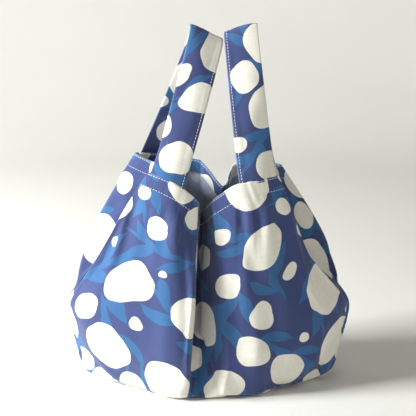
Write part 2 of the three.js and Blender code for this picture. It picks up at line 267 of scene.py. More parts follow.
def outer_point(around, level):
    """Place on the bag's outer face: around counts fold lines, level runs from 0 to TOP."""
    around, level = np.broadcast_arrays(np.mod(around, LINE_COUNT), level)
    first = np.floor(around).astype(int)
    low = np.clip(np.floor(level).astype(int), 0, TOP - 1)
    share = level - low
    crisp = [
        (CRISP[line, low] * (1 - share) + CRISP[line, low + 1] * share)[..., None]
        for line in (first % LINE_COUNT, (first + 1) % LINE_COUNT)
    ]
    ring = []
    for step in (-1, 0, 1, 2):
        line = LINES_EXTENDED[(first + step) % LINE_COUNT]
        four = [
            np.take_along_axis(line, (low + k)[..., None, None], axis=-2)[..., 0, :]
            for k in range(4)
        ]
        ring.append(curve_between(*four, share))
    return curve_between(*ring, around - first, *crisp)


def unit(v):
    return v / np.maximum(np.linalg.norm(v, axis=-1, keepdims=True), 1e-9)


def outward(around, level, step=0.02):
    along = outer_point(around + step, level) - outer_point(around - step, level)
    low = np.clip(level - step, 0, TOP)
    high = np.clip(level + step, 0, TOP)
    return unit(np.cross(along, outer_point(around, high) - outer_point(around, low)))


def body_point(around, level, inset):
    inset = np.asarray(inset)[..., None]
    return outer_point(around, level) - outward(around, level) * inset


def level_below_hem(around, drop):
    stretch = outer_point(around, TOP) - outer_point(around, TOP - 1)
    return TOP - drop / np.linalg.norm(stretch, axis=-1)


def hem_point(around, drop, inset):
    return body_point(around, level_below_hem(around, drop), inset)


def run_along(path):
    """Length along a path at each of its places."""
    return np.r_[0, np.cumsum(np.linalg.norm(np.diff(path, axis=0), axis=1))]


# Length along the hem from the front fold, all the way round
HEM_AROUND = np.linspace(0, LINE_COUNT, 2001)
HEM_RUN = run_along(outer_point(HEM_AROUND, TOP))


def run_at(around):
    return np.interp(np.mod(around, LINE_COUNT), HEM_AROUND, HEM_RUN)


def around_at(run):
    return np.interp(np.mod(run, HEM_RUN[-1]), HEM_RUN, HEM_AROUND)


# Each strap end: where along the hem its outer edge lies, and which way its inner edge is
STRAP_ENDS = {
    "front_left": (run_at(RIDGES["front_left"]) + STRAP_FROM_FRONT_RIDGE, 1),
    "back_left": (run_at(RIDGES["back_left"]) - STRAP_FROM_BACK_RIDGE, -1),
    "front_right": (run_at(RIDGES["front_right"]) - STRAP_FROM_FRONT_RIDGE, -1),
    "back_right": (run_at(RIDGES["back_right"]) + STRAP_FROM_BACK_RIDGE, 1),
}


def smooth(x):
    x = np.clip(x, 0, 1)
    return x * x * (3 - 2 * x)


def strap_here(around, soft=5.0):
    """1 where a strap end lies inside the hem, 0 away from it."""
    run = run_at(around)
    here = np.zeros_like(run)
    for start, way in STRAP_ENDS.values():
        low = start if way > 0 else start - STRAP_WIDTH
        inside = smooth((run - low) / soft + 1) * smooth((low + STRAP_WIDTH - run) / soft + 1)
        here = np.maximum(here, inside)
    return here


def soft_noise(shape, cells, seed):
    """Smooth random field between about -1 and 1 on a grid, with cells waves each way."""
    values = np.random.default_rng(seed).uniform(-1, 1, (cells[0] + 4, cells[1] + 4))
    return resample(resample(values, shape[0], 0, 1.5), shape[1], 1, 1.5)


def resample(values, count, axis, margin=0.0):
    """Cubic resampling of a grid along one axis, leaving margin cells off both ends."""
    values = np.moveaxis(values, axis, 0)
    last = len(values) - 1
    place = np.linspace(margin, last - margin, count)
    first = np.clip(np.floor(place).astype(int), 0, last - 1)
    w = (place - first).reshape((-1,) + (1,) * (values.ndim - 1))
    p0 = values[np.maximum(first - 1, 0)]
    p1, p2 = values[first], values[first + 1]
    p3 = values[np.minimum(first + 2, last)]
    made = cubic(p1, p2, (p2 - p0) / 2, (p3 - p1) / 2, w)
    return np.moveaxis(made, 0, axis)


def grid_normals(grid):
    across = np.gradient(grid, axis=1)
    up = np.gradient(grid, axis=0)
    return unit(np.cross(across, up))


def add_to_scene(name, data):
    made = bpy.data.objects.new(name, data)
    bpy.context.scene.collection.objects.link(made)
    return made


def mesh_from(name, points, faces, flat=None):
    """Mesh object in metres from places in millimetres."""
    mesh = bpy.data.meshes.new(name)
    mesh.from_pydata((points * MM).tolist(), [], faces)
    mesh.shade_smooth()
    if flat is not None:
        layer = mesh.uv_layers.new(name="flat_cloth")
        corners = np.empty(len(mesh.loops), dtype=np.int32)
        mesh.loops.foreach_get("vertex_index", corners)
        places = flat.reshape(-1, 2)[corners]
        layer.data.foreach_set("uv", places.astype(np.float32).ravel())
    return add_to_scene(name, mesh)


def grid_mesh(name, grid, flat=None):
    """Mesh of a grid of places in millimetres, with its flat cloth coordinates if any."""
    index = np.arange(grid[..., 0].size).reshape(grid.shape[:2])
    a, b = index[:-1, :-1].ravel(), index[:-1, 1:].ravel()
    c, d = index[1:, 1:].ravel(), index[1:, :-1].ravel()
    return mesh_from(name, grid.reshape(-1, 3), np.stack([a, b, c, d], axis=1).tolist(), flat)


# Rows and columns of a panel's grid, and where the first row of its floor lies
COLUMNS = 221
SIDE_ROWS = 85
HEM_ROWS = 11
FLOOR_FIRST = 3
FLOOR_ROWS = 8
FLOOR_START = 0.15
HEM_FIRST = FLOOR_FIRST + FLOOR_ROWS + SIDE_ROWS - 1
ALLOWANCE_COLUMNS = 4
CORNER_PASSES = 3

# Two rows of the coarse grid that show which way is up on the flat cloth
LOW_ROW, HIGH_ROW = 10, -20

# Cloth simulation: spare length, frames and how far a place may move, in millimetres
CLOTH_EASE = 0.025
SETTLE_FRAMES = 24
SETTLE_CAP = 4.0
SETTLE_SETTINGS = {
    "quality": 6,
    "mass": 0.2,
    "tension_stiffness": 15,
    "compression_stiffness": 15,
    "shear_stiffness": 6,
    "bending_stiffness": 0.6,
    "vertex_group_mass": "held",
    "shrink_min": -CLOTH_EASE,
    "shrink_max": -CLOTH_EASE,
}
SETTLE_GRAVITY = 0.3
LOOSEST = 0.97
HELD_AT_BASE, HELD_AT_HEM, HELD_AT_SEAM = 5, 3, 4

# Small wrinkles in millimetres, and the rows and columns over which they fade
WRINKLE = 0.8
WRINKLE_OVER_BASE, WRINKLE_BELOW_HEM, WRINKLE_FROM_SEAM = 12, 14, 10

# Where creases fade: shares of their length, rows of the grid, and how far the cloth faces sideways
CREASE_START, CREASE_END = 0.12, 0.7
CREASE_OVER_BASE, CREASE_BELOW_HEM = 10, 5
CREASE_FACING = 0.45

# Pleats below the hem and creases at the foot: two ends as x and z, height outward, half width
FRONT_CREASES = (
    ((-38, 220), (-47, -400), 5.4, 14.0),
    ((-26, 214), (-34, -400), 1.6, 7.0),
    ((-29, 214), (-35, 132), 1.4, 5.0),
    ((-40, 216), (-52, 130), -3.0, 5.5),
    ((-20, 210), (-22, 140), -1.8, 4.5),
    ((-66, 224), (-98, 130), -1.6, 6.0),
    ((30.5, 214), (34, 168), -2.4, 3.2),
    ((32, 208), (52, 90), -2.6, 7.0),
    ((56, -30), (40, 190), 4.4, 12.0),
    ((78, -30), (58, 190), -3.6, 11.0),
    ((38, 214), (46, 130), 1.5, 5.5),
    ((48, 214), (58, 150), -1.3, 4.0),
    ((56, 216), (70, 120), 1.9, 5.5),
    ((65, 216), (82, 140), -1.8, 4.5),
    ((73, 216), (96, 128), 1.9, 5.5),
    ((-8, 56), (-15, -8), -2.8, 2.8),
    ((-8, 56), (17, -8), -2.8, 2.8),
    ((24, 40), (44, 2), 1.3, 6.0),
    ((-60, 46), (-52, 4), 1.3, 7.0),
    ((100, 60), (84, 8), -1.4, 6.0),
)
BACK_CREASES = (
    ((-74, 220), (-92, 140), -1.9, 4.5),
    ((-64, 220), (-76, 130), 1.9, 5.5),
    ((-38, 216), (-42, 140), -1.9, 4.5),
    ((-27, 216), (-28, 130), 1.7, 5.5),
    ((34, 212), (38, 140), -1.9, 4.5),
    ((44, 212), (52, 128), 1.7, 5.5),
    ((74, 212), (96, 132), -1.9, 4.5),
    ((-20, 44), (-34, 2), -1.5, 4.0),
    ((30, 50), (46, 4), 1.4, 6.0),
)


def panel_arounds(start):
    """Columns of a panel from seam to seam, evenly spaced along the cloth."""
    dense = np.linspace(start, start + LINE_COUNT / 2, 1201)
    run = np.zeros(len(dense))
    for level in range(1, TOP + 1):
        step = np.linalg.norm(np.diff(outer_point(dense, level), axis=0), axis=1)
        run[1:] += np.cumsum(step)
    return np.interp(np.linspace(0, run[-1], COLUMNS), run, dense)


def panel_grid(start, side_y):
    """Places of a panel's cloth from the seam under the base up to the hem and down inside it.

    Returns its columns, the grid, the drop of each row below the hem's edge or None, and the row
    at the edge of the base."""
    arounds = panel_arounds(start)
    seam_y = SEAM_Y + side_y * OUTER_INSET
    base = outer_point(arounds, 0)
    base[:, 2] = OUTER_INSET
    reach = np.maximum(np.abs(base[:, 1] - seam_y), 1.0)
    base[:, 1] = seam_y + side_y * reach
    rows = []
    drops = []
    for rise in (SEAM_ALLOWANCE, SEAM_ALLOWANCE / 2, ALLOWANCE_LOWEST):
        row = base.copy()
        row[:, 0] *= BASE_SEAM_SHARE
        row[:, 1] = seam_y
        row[:, 2] = rise
        rows.append(row)
    for k in range(FLOOR_ROWS):
        row = base.copy()
        row[:, 1] = seam_y + (base[:, 1] - seam_y) * (k + FLOOR_START) / FLOOR_ROWS
        rows.append(row)
    hem_start = level_below_hem(arounds, HEM_DEPTH)
    corner = len(rows)
    for x in np.linspace(0, 1, SIDE_ROWS):
        rows.append(body_point(arounds, x * hem_start, OUTER_INSET))
    drops += [None] * len(rows)
    inner = HEM_INNER_INSET + STRAP_POCKET * strap_here(arounds)
    for drop in np.linspace(HEM_DEPTH, HEM_EDGE_DROP, HEM_ROWS + 1)[1:]:
        rows.append(hem_point(arounds, drop, OUTER_INSET))
        drops.append(drop)
    half = (inner - OUTER_INSET) / 2
    for angle in (45, 90, 135):
        turn = math.radians(angle)
        inset = OUTER_INSET + half * (1 - math.cos(turn))
        rows.append(hem_point(arounds, HEM_EDGE_DROP * (1 - math.sin(turn)), inset))
        drops.append(0.0)
    for drop in np.linspace(HEM_EDGE_DROP, HEM_DEPTH - HEM_TURNED_SHORTER, HEM_ROWS):
        rows.append(hem_point(arounds, drop, inner))
        drops.append(drop)
    grid = np.array(rows)
    for _ in range(CORNER_PASSES):
        near = slice(corner - 2, corner + 3)
        above = slice(corner - 1, corner + 4)
        below = slice(corner - 3, corner + 2)
        grid[near] = 0.5 * grid[near] + 0.25 * (grid[above] + grid[below])
    return arounds, grid, drops, corner


def flat_pattern(grid):
    """Flat cloth coordinates in metres of a grid, from Blender's least-stretch unwrap."""
    rows, columns = grid.shape[:2]
    coarse = grid[::2, ::2]
    work = grid_mesh("unwrap", coarse)
    work.data.uv_layers.new(name="flat_cloth")
    bpy.context.view_layer.objects.active = work
    bpy.ops.object.mode_set(mode="EDIT")
    bpy.ops.mesh.select_all(action="SELECT")
    bpy.ops.uv.unwrap(method="MINIMUM_STRETCH", margin=0.0)
    bpy.ops.object.mode_set(mode="OBJECT")
    uv = np.empty(len(work.data.loops) * 2, np.float32)
    work.data.uv_layers[0].data.foreach_get("uv", uv)
    corners = np.empty(len(work.data.loops), np.int32)
    work.data.loops.foreach_get("vertex_index", corners)
    flat = np.zeros((len(work.data.vertices), 2))
    flat[corners] = uv.reshape(-1, 2)
    flat = flat.reshape(*coarse.shape[:2], 2)
    bpy.data.objects.remove(work)
    area = quad_area(coarse) * MM * MM
    flat *= math.sqrt(area / abs(quad_area(np.dstack([flat, np.zeros(flat.shape[:2])]))))
    middle = coarse.shape[1] // 2
    up = flat[HIGH_ROW, middle] - flat[LOW_ROW, middle]
    along = np.array([up[1], -up[0]]) / np.linalg.norm(up)
    turned = np.stack([(flat * along).sum(-1), (flat * unit(up)).sum(-1)], -1)
    turned -= turned[LOW_ROW, middle]
    if turned[LOW_ROW, -1, 0] < turned[LOW_ROW, 0, 0]:
        turned[..., 0] *= -1
    return resample(resample(turned, rows, 0), columns, 1)


def quad_area(grid):
    a, b = grid[:-1, :-1], grid[:-1, 1:]
    c, d = grid[1:, 1:], grid[1:, :-1]
    one = np.linalg.norm(np.cross(b - a, c - a), axis=-1).sum()
    two = np.linalg.norm(np.cross(c - a, d - a), axis=-1).sum()
    return (one + two) / 2


def settle_cloth(grid):
    """Short cloth simulation of a panel's side, held at its hem, seams and base; returns the grid.

    The cloth is a little longer than the space between its held edges, so it buckles softly."""
    first, last = FLOOR_FIRST + FLOOR_ROWS, HEM_FIRST
    side = grid[first : last + 1]
    coarse = side[::2, ::2]
    rows, columns = coarse.shape[:2]
    work = grid_mesh("cloth_at_work", coarse)
    from_base = np.arange(rows)[:, None]
    from_seam = np.arange(columns)[None, :]
    from_seam = np.minimum(from_seam, columns - 1 - from_seam)
    below_hem = rows - 1 - from_base
    loose = smooth(from_base / HELD_AT_BASE) * smooth(below_hem / HELD_AT_HEM)
    loose = loose * smooth(from_seam / HELD_AT_SEAM)
    group = work.vertex_groups.new(name="held")
    for index, weight in enumerate((1 - LOOSEST * loose).ravel()):
        group.add([index], float(weight), "REPLACE")
    cloth = work.modifiers.new("settle", "CLOTH")
    for setting, value in SETTLE_SETTINGS.items():
        setattr(cloth.settings, setting, value)
    cloth.settings.effector_weights.gravity = SETTLE_GRAVITY
    cloth.collision_settings.use_collision = False
    for number in range(1, SETTLE_FRAMES + 1):
        bpy.context.scene.frame_set(number)
    shown = work.evaluated_get(bpy.context.evaluated_depsgraph_get())
    settled = shown.to_mesh()
    moved = np.empty(rows * columns * 3, np.float32)
    settled.vertices.foreach_get("co", moved)
    shown.to_mesh_clear()
    bpy.context.scene.frame_set(1)
    bpy.data.objects.remove(work)
    shift = moved.reshape(rows, columns, 3) / MM - coarse
    size = np.linalg.norm(shift, axis=-1, keepdims=True)
    shift *= SETTLE_CAP * np.tanh(size / SETTLE_CAP) / np.maximum(size, 1e-6) * loose[..., None]
    shift = resample(resample(shift, side.shape[0], 0), side.shape[1], 1)
    made = grid.copy()
    made[first : last + 1] += shift
    return made


def crease(grid, start, end, height, width):
    """How far out each place moves for one crease, which fades towards its second end."""
    way = np.subtract(end, start)
    length = np.linalg.norm(way)
    from_start = grid[..., [0, 2]] - start
    share = from_start @ way / length**2
    away = (from_start[..., 0] * way[1] - from_start[..., 1] * way[0]) / length
    along = smooth(share / CREASE_START + 0.5) * smooth((1 - share) / CREASE_END)
    return height * along * np.exp(-((away / width) ** 2))


def pucker(grid, arounds, drops, seed):
    """Small ripples and the pinch of the topstitching along the hem."""
    normals = grid_normals(grid)
    wave = soft_noise((3, len(arounds)), (2, 60), seed)[1]
    wave = wave + 0.6 * soft_noise((3, len(arounds)), (2, 26), seed + 1)[1]
    shift = np.zeros(grid.shape[:2])
    for r, drop in enumerate(drops):
        if drop is None:
            below = (HEM_FIRST + 1 - r) * SIDE_ROW_PITCH
            shift[r] = RIPPLE_BELOW_HEM * wave * math.exp(-((below / RIPPLE_REACH) ** 2))
        else:
            pinch = sum(math.exp(-(((drop - at) / PINCH_WIDTH) ** 2)) for at in HEM_STITCH_DROPS)
            shift[r] = HEM_RIPPLE * wave - PINCH * pinch

    # The turned layer faces the other way, and moves along with the outer one
    first_inner = len(drops) - HEM_ROWS - 2
    shift[first_inner:] *= -1
    return grid + normals * shift[..., None]


def with_allowances(grid, drops, side_y):
    """Adds the seam allowances that are turned to the inside at both side seams."""
    added = []
    tall = np.array([1.0 if drop is None else ALLOWANCE_IN_HEM for drop in drops])
    tall[: FLOOR_FIRST + FLOOR_ROWS] = ALLOWANCE_AT_BASE
    for k in range(1, ALLOWANCE_COLUMNS + 1):
        reach = SEAM_ALLOWANCE * k / ALLOWANCE_COLUMNS * tall
        pair = []
        for edge in (0, -1):
            line = grid[:, edge].copy()
            left = np.sign(line[:, 0])
            line[:, 0] -= left * reach
            line[:, 1] = SEAM_Y + side_y * (ALLOWANCE_GAP + ALLOWANCE_SPREAD * k)
            line[:, 2] += ALLOWANCE_RISE * reach
            pair.append(line)
        added.append(pair)
    before = [pair[0][:, None] for pair in added][::-1]
    after = [pair[1][:, None] for pair in added]
    return np.concatenate([*before, grid, *after], axis=1)


def make_panel(name, start, side_y, seed):
    """One panel's cloth: its mesh, its grid, its flat pattern and each row's drop in the hem."""
    arounds, grid, drops, corner = panel_grid(start, side_y)
    grid[:, [0, -1], 1] = SEAM_Y + side_y * OUTER_INSET
    whole = with_allowances(grid, drops, side_y)
    flat = flat_pattern(whole)
    grid = settle_cloth(grid)
    swell = soft_noise(grid.shape[:2], (9, 14), seed)
    swell = swell + 0.5 * soft_noise(grid.shape[:2], (18, 30), seed + 5)
    row = np.arange(grid.shape[0])[:, None]
    column = np.arange(COLUMNS)[None, :]
    over_base, below_hem = row - corner, HEM_FIRST - row
    from_seam = np.minimum(column, COLUMNS - 1 - column)
    free = smooth(over_base / WRINKLE_OVER_BASE) * smooth(below_hem / WRINKLE_BELOW_HEM)
    free = free * smooth(from_seam / WRINKLE_FROM_SEAM)
    grid = grid + grid_normals(grid) * (WRINKLE * swell * free)[..., None]
    normals = grid_normals(grid)
    facing = smooth(np.abs(normals[..., 1]) / CREASE_FACING)
    facing = facing * smooth(below_hem / CREASE_BELOW_HEM) * smooth(over_base / CREASE_OVER_BASE)
    creases = FRONT_CREASES if side_y < 0 else BACK_CREASES
    outside = (normals[corner + SIDE_ROWS // 2, COLUMNS // 4, 1] * side_y > 0) * 2 - 1
    level_out = unit(normals * (1, 1, 0))
    height = sum(crease(grid, *one) for one in creases)
    grid = grid + level_out * (outside * facing * height)[..., None]
    grid = pucker(grid, arounds, drops, seed + 20)
    grid[..., 2] = np.maximum(grid[..., 2], CLOTH / 2)
    grid = with_allowances(grid, drops, side_y)
    return grid_mesh(name, grid, flat), grid, flat, drops


def thicken(piece, thickness):
    cloth = piece.modifiers.new("cloth_thickness", "SOLIDIFY")
    cloth.thickness = thickness * MM
    cloth.offset = 0
    cloth.use_even_offset = False
    cloth.material_offset = 1
    cloth.material_offset_rim = 1


STRAP_ROWS = 181
STRAP_COLUMNS = 21
STEPS_BETWEEN_STATIONS = 40


def tuck_row(end, drop, spread):
    """One row of a strap end inside the hem, at a drop below the hem's edge."""
    start, way = STRAP_ENDS[end]
    arounds = around_at(start + way * spread)
    return hem_point(arounds, drop, STRAP_INSET)


def top_row(top, y, drop, share):
    """One row across the top of a handle, between its outer and its inner edge."""
    outer, inner = (np.array([p[0], y, HEM_HEIGHT + HANDLE_RISE - drop - p[1]]) for p in top)
    return outer + (inner - outer) * share[:, None]


def handle_middle(front, back, top):
    """Middle surface of a handle, from inside the front hem over the top to the back hem."""
    share = np.linspace(0, 1, STRAP_COLUMNS)
    spread = share * STRAP_WIDTH
    stations = np.array([
        tuck_row(front, STRAP_TUCK / 2, spread),
        tuck_row(front, 0, spread),
        top_row(top, HANDLE_TOP_Y - HANDLE_FOLD_RADIUS, HANDLE_FOLD_DROP, share),
        top_row(top, HANDLE_TOP_Y, 0, share),
        top_row(top, HANDLE_TOP_Y + HANDLE_FOLD_RADIUS, HANDLE_FOLD_DROP, share),
        tuck_row(back, 0, spread),
        tuck_row(back, STRAP_TUCK / 2, spread),
    ])
    ends = [2 * stations[0] - stations[1], *stations, 2 * stations[-1] - stations[-2]]
    dense = [tuck_row(front, STRAP_TUCK, spread)]
    for k in range(len(stations) - 1):
        for w in np.linspace(0, 1, STEPS_BETWEEN_STATIONS, endpoint=False):
            dense.append(curve_between(*ends[k : k + 4], np.full(STRAP_COLUMNS, w)))
    dense += [stations[-1], tuck_row(back, STRAP_TUCK, spread)]
    dense = np.array(dense)
    step = np.linalg.norm(np.diff(dense, axis=0), axis=2).mean(1)
    run = np.r_[0, np.cumsum(step)]
    even = np.linspace(0, run[-1], STRAP_ROWS)
    made = np.empty((STRAP_ROWS, STRAP_COLUMNS, 3))
    for c in range(STRAP_COLUMNS):
        for k in range(3):
            made[:, c, k] = np.interp(even, run, dense[:, c, k])
    return made, even


def strap_section():
    """The folded band across: distance from its outer edge and height off its middle."""
    half = [(0, 0), (0.25, 0.3), (0.9, STRAP_LAYER)]
    for x in np.linspace(2.5, STRAP_WIDTH - 9, 15):
        puffed = math.sin(math.pi * min(x / (STRAP_WIDTH - 7), 1)) ** 0.8
        half.append((x, STRAP_LAYER + STRAP_PUFF * puffed))
    half += [(STRAP_WIDTH - from_edge, height) for from_edge, height in STRAP_EDGE]
    half = np.array(half)
    mirrored = half[:0:-1] * (1, -1)
    return np.concatenate([mirrored, half])


def strap_normals(middle):
    """Normals of a handle's middle surface that face forward where it rises from the front."""
    normals = grid_normals(middle)
    return -normals if normals[STRAP_ROWS // 4, STRAP_COLUMNS // 2, 1] > 0 else normals


def make_handle(name, front, back, top, seed):
    """One handle: its mesh, its flat pattern and its two rows of edge stitches."""
    middle, run = handle_middle(front, back, top)
    free = smooth((run - STRAP_STILL) / STRAP_SOFT)
    free = free * smooth((run[-1] - STRAP_STILL - run) / STRAP_SOFT)
    sway = soft_noise((STRAP_ROWS, STRAP_COLUMNS), (9, 2), seed)
    middle = middle + strap_normals(middle) * (STRAP_SWAY * sway * free[:, None])[..., None]
    normals = strap_normals(middle)
    section = strap_section()
    if middle[STRAP_ROWS // 4, -1, 0] < middle[STRAP_ROWS // 4, 0, 0]:
        section = section[::-1]
    place = section[:, 0] / STRAP_WIDTH * (STRAP_COLUMNS - 1)
    first = np.clip(np.floor(place).astype(int), 0, STRAP_COLUMNS - 2)
    w = (place - first)[None, :, None]
    base = middle[:, first] * (1 - w) + middle[:, first + 1] * w
    lift = unit(normals[:, first] * (1 - w) + normals[:, first + 1] * w)
    swell = soft_noise((STRAP_ROWS, len(section)), (16, 5), seed + 3)
    puff = 1 + 0.9 * free[:, None] * np.clip(swell, -0.4, 1)
    puffed = section[None, :, 0] < STRAP_WIDTH - STRAP_TURNED_IN
    height = section[None, :, 1] * np.where(puffed, puff, 1)
    wave = soft_noise((STRAP_ROWS, 3), (70, 2), seed + 7)[:, 1]
    from_stitch = STRAP_WIDTH - STRAP_STITCH_FROM_EDGE - section[:, 0]
    near_stitch = np.exp(-((from_stitch / STRAP_RIPPLE_WIDTH) ** 2))
    ripple = STRAP_RIPPLE * wave[:, None] * near_stitch[None, :] * np.sign(section[None, :, 1])
    grid = base + lift * (height + ripple)[..., None]
    across = run_along(section)[None, :]
    flat = np.stack(np.broadcast_arrays(across, run[:, None]), -1) * MM
    at = (STRAP_WIDTH - STRAP_STITCH_FROM_EDGE) / STRAP_WIDTH * (STRAP_COLUMNS - 1)
    k = int(at)
    path = middle[:, k] * (k + 1 - at) + middle[:, k + 1] * (at - k)
    lines = []
    for side in (1, -1):
        facing = normals[:, k] * side
        lines.append((path + facing * (STRAP_STITCH_HEIGHT + CLOTH / 2), facing))
    return grid_mesh(name, grid, flat), flat, lines


def along_row(at, run, values):
    return np.array([np.interp(at, run, values[:, k]) for k in range(3)])


def stitch_mesh(name, lines):
    """Rows of stitches: each a short bowed piece of thread that dips into the cloth at its ends."""
    points, faces = [], []
    turns = np.linspace(0, 2 * math.pi, STITCH_SIDES, endpoint=False)
    for path, facing in lines:
        run = run_along(path)
        count = int((run[-1] - 2 * STITCH_MARGIN) / STITCH_PITCH)
        for n in range(count):
            at = STITCH_MARGIN + n * STITCH_PITCH + rng.uniform(-0.15, 0.15)
            length = STITCH_LENGTH * rng.uniform(0.9, 1.08)
            lean = rng.uniform(-0.12, 0.12)
            start = len(points)
            for share, height, radius in STITCH_PROFILE:
                place = at + share * length
                here = along_row(place, run, path)
                up = unit(along_row(place, run, facing))
                along = unit(along_row(place + 0.3, run, path) - here)
                side = np.cross(up, along)
                centre = here + up * height + side * lean * (share - 0.5) * 2
                for turn in turns:
                    points.append(centre + radius * (math.cos(turn) * side + math.sin(turn) * up))
            last = start + (len(STITCH_PROFILE) - 1) * STITCH_SIDES
            for ring in range(start, last, STITCH_SIDES):
                for k in range(STITCH_SIDES):
                    a = ring + k
                    b = ring + (k + 1) % STITCH_SIDES
                    faces.append((a, b, b + STITCH_SIDES, a + STITCH_SIDES))
            faces.append(tuple(start + k for k in reversed(range(STITCH_SIDES))))
            faces.append(tuple(last + k for k in range(STITCH_SIDES)))
    return mesh_from(name, np.array(points), faces)


def hem_lines(grid, drops):
    """The hem's rows of topstitching on a finished panel, outside and inside."""
    panel = slice(ALLOWANCE_COLUMNS, grid.shape[1] - ALLOWANCE_COLUMNS)
    inside = grid[:, panel]
    facing = grid_normals(grid)[:, panel]
    fold = next(r for r, drop in enumerate(drops) if drop == 0.0) + 1
    lines = []
    for rows in (range(HEM_FIRST, fold), range(fold, len(drops))):
        rows = list(rows)
        at = np.array([HEM_DEPTH if drops[r] is None else drops[r] for r in rows])
        order = np.argsort(at)
        for wanted in HEM_STITCH_DROPS:
            path = np.empty((inside.shape[1], 3))
            up = np.empty_like(path)
            for k in range(3):
                for c in range(inside.shape[1]):
                    path[c, k] = np.interp(wanted, at[order], inside[rows, c, k][order])
                    up[c, k] = np.interp(wanted, at[order], facing[rows, c, k][order])
            up = unit(up)
            lines.append((path + up * CLOTH / 2, up))
    return lines


def colour(red, green, blue):
    """Linear colour from 0 to 255 screen values."""
    return tuple(
        v / 12.92 if v <= 0.04045 else ((v + 0.055) / 1.055) ** 2.4
        for v in (red / 255, green / 255, blue / 255)
    ) + (1.0,)


def fill(tree, sockets, values):
    """Links or sets each named or numbered socket."""
    for key, value in values.items():
        if isinstance(value, bpy.types.NodeSocket):
            tree.links.new(value, sockets[key])
        else:
            sockets[key].default_value = value


def put(tree, kind, values=None, **settings):
    node = tree.nodes.new(kind)
    for key, value in settings.items():
        setattr(node, key, value)
    fill(tree, node.inputs, values or {})
    return node


def calc(tree, operation, *values, clamp=False):
    node = put(tree, "ShaderNodeMath", dict(enumerate(values)), operation=operation)
    node.use_clamp = clamp
    return node.outputs[0]


def vector(tree, operation, *values):
    node = put(tree, "ShaderNodeVectorMath", dict(enumerate(values)), operation=operation)
    return node.outputs[0]


def between(tree, value, low, high):
    """0 below low, 1 above high, smooth in between."""
    settings = {"Value": value, "From Min": low, "From Max": high}
    node = put(tree, "ShaderNodeMapRange", settings, interpolation_type="SMOOTHSTEP")
    return node.outputs[0]


def between_values(tree, share, low, high):
    return calc(tree, "MULTIPLY_ADD", share, high - low, low)


def ranged(tree, value, low, high, start=0.0, end=1.0):
    """From low to high while value runs from start to end."""
    settings = {"Value": value, "From Min": start, "From Max": end, "To Min": low, "To Max": high}
    return put(tree, "ShaderNodeMapRange", settings).outputs[0]


def scaled(tree, value, factor):
    return put(tree, "ShaderNodeVectorMath", {0: value, 3: factor}, operation="SCALE").outputs[0]


def rotated(tree, value, angle):
    settings = {"Vector": value, "Angle": angle}
    return put(tree, "ShaderNodeVectorRotate", settings, rotation_type="Z_AXIS").outputs[0]


def mixed(tree, share, first, second, blend="MIX"):
    """Colour mixed from two colours."""
    settings = {0: share, 6: first, 7: second}
    return put(tree, "ShaderNodeMix", settings, data_type="RGBA", blend_type=blend).outputs[2]


def noise_at(tree, place, scale, detail):
    settings = {"Vector": place, "Scale": scale, "Detail": detail}
    return put(tree, "ShaderNodeTexNoise", settings).outputs


def bump_to(tree, surface, height, strength, distance):
    settings = {"Height": height, "Strength": strength, "Distance": distance}
    fill(tree, surface.inputs, {"Normal": put(tree, "ShaderNodeBump", settings).outputs[0]})


def new_group(name, inputs, outputs):
    """Shader node group; an input with no value is a vector, and the others are numbers."""
    tree = bpy.data.node_groups.new(name, "ShaderNodeTree")
    for label, value in inputs.items():
        kind = VECTOR if value is None else FLOAT
        socket = tree.interface.new_socket(label, in_out="INPUT", socket_type=kind)
        if value is not None:
            socket.default_value = value
    for label, kind in outputs.items():
        tree.interface.new_socket(label, in_out="OUTPUT", socket_type=kind)
    return tree, tree.nodes.new("NodeGroupInput").outputs, tree.nodes.new("NodeGroupOutput").inputs


def call(tree, group, **values):
    node = tree.nodes.new("ShaderNodeGroup")
    node.node_tree = group
    fill(tree, node.inputs, values)
    return node.outputs


FLOAT, VECTOR = "NodeSocketFloat", "NodeSocketVector"

# Printed design and weave, in metres of cloth
PRINT_CELL = 0.066
PRINT_EDGE = 0.0002
WEAVE_THREAD = 0.00042
BIG_SPOTS = (0.0125, 0.0265)
SMALL_SPOTS = (0.004, 0.0165)

# Waviness of the print's outlines: scale of the noise and how far it moves them
PRINT_WAVES = ((8.0, 0.046), (34.0, 0.0105), (90.0, 0.0022))

# Printed sprig: the stem and its leaves, each as place of its stalk, angle, length and width
SPRIG_LEAVES = (
    ((-0.046, 0.0, 0.0), 0.0, 0.094, 0.0085),
    ((-0.034, 0.0015, 0.0), 0.62, 0.034, 0.012),
    ((-0.018, 0.001, 0.0), -0.68, 0.036, 0.0125),
    ((0.0, 0.002, 0.0), 0.58, 0.038, 0.0125),
    ((0.014, 0.001, 0.0), -0.6, 0.03, 0.0105),
)
HALF = (0.5, 0.5, 0.5)
LEVEL = (1.0, 1.0, 0.0)


def leaf_group():
    """Mask of one pointed leaf: its stalk is at Place, and it is turned by Angle."""
    inputs = {"Position": None, "Place": None, "Angle": 0.0, "Length": 0.02, "Width": 0.008}
    tree, given, made = new_group("leaf_shape", inputs, {"Mask": FLOAT})
    moved = vector(tree, "SUBTRACT", given["Position"], given["Place"])
    parts = put(tree, "ShaderNodeSeparateXYZ", {0: rotated(tree, moved, given["Angle"])})
    along = calc(tree, "DIVIDE", parts.outputs[0], given["Length"])
    inside = calc(tree, "MULTIPLY", along, calc(tree, "SUBTRACT", 1.0, along))
    full = calc(tree, "MULTIPLY", calc(tree, "MAXIMUM", inside, 0.0), 2.0)
    half = calc(tree, "MULTIPLY", full, given["Width"])
    bow = calc(tree, "MULTIPLY", calc(tree, "MULTIPLY", inside, given["Width"]), 1.1)
    away = calc(tree, "ABSOLUTE", calc(tree, "SUBTRACT", parts.outputs[1], bow))
    inside = calc(tree, "SUBTRACT", half, away)
    fill(tree, made, {"Mask": between(tree, inside, -PRINT_EDGE, PRINT_EDGE)})
    return tree


